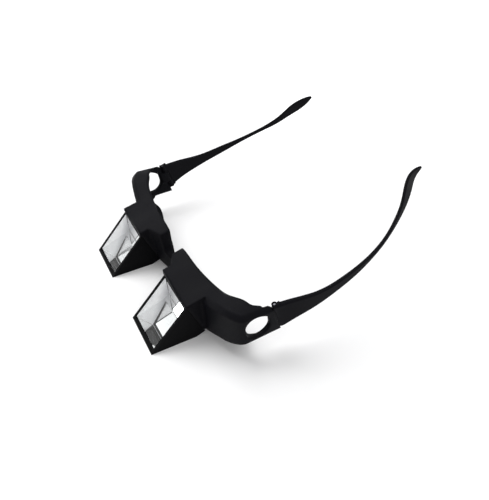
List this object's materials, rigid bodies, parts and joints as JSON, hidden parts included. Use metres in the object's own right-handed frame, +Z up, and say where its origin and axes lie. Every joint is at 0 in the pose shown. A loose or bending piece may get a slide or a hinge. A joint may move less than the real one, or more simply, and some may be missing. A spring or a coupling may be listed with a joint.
{
  "type": "prism glasses",
  "caption": "Wrap-round glasses with a glass prism in a wedge-shaped case in front of each eye and folding curved temples, for looking down while lying flat.",
  "frame": {"origin": "on the table, in the middle of the width and of the depth, with the temples open", "axes": "as it lies brow side down: +X to the wearer's right, +Y from the front edge of the windows back to the ear tips, +Z up from the table, which is down when worn"},
  "size_m": [0.1474, 0.1546, 0.0657],
  "materials": {
    "front_plastic": "satin",
    "case_plastic": "satin",
    "ring_plastic": "matte",
    "temple_plastic": "satin",
    "prism_glass": "polished",
    "mirror_layer": "silvered",
    "screw_steel": "turned"
  },
  "bodies": {
    "front": {"front_frame": "front_plastic", "right_prism_case": "case_plastic", "right_prism": "prism_glass", "right_prism_mirror": "mirror_layer", "right_eye_ring": "ring_plastic", "left_prism_case": "case_plastic", "left_prism": "prism_glass", "left_prism_mirror": "mirror_layer", "left_eye_ring": "ring_plastic"},
    "right_temple": {"right_temple": "temple_plastic", "right_hinge_screw": "screw_steel"},
    "left_temple": {"left_temple": "temple_plastic", "left_hinge_screw": "screw_steel"}
  },
  "joints": [
    {"name": "right_temple_fold", "type": "hinge", "parent": "front", "child": "right_temple", "pos_m": [0.06962, -0.01989, 0.02347], "axis": [0.0698, -0.3165, 0.946], "range_deg": [0, 84]},
    {"name": "left_temple_fold", "type": "hinge", "parent": "front", "child": "left_temple", "pos_m": [-0.06962, -0.01989, 0.02347], "axis": [0.0698, 0.3165, -0.946], "range_deg": [0, 75]}
  ]
}
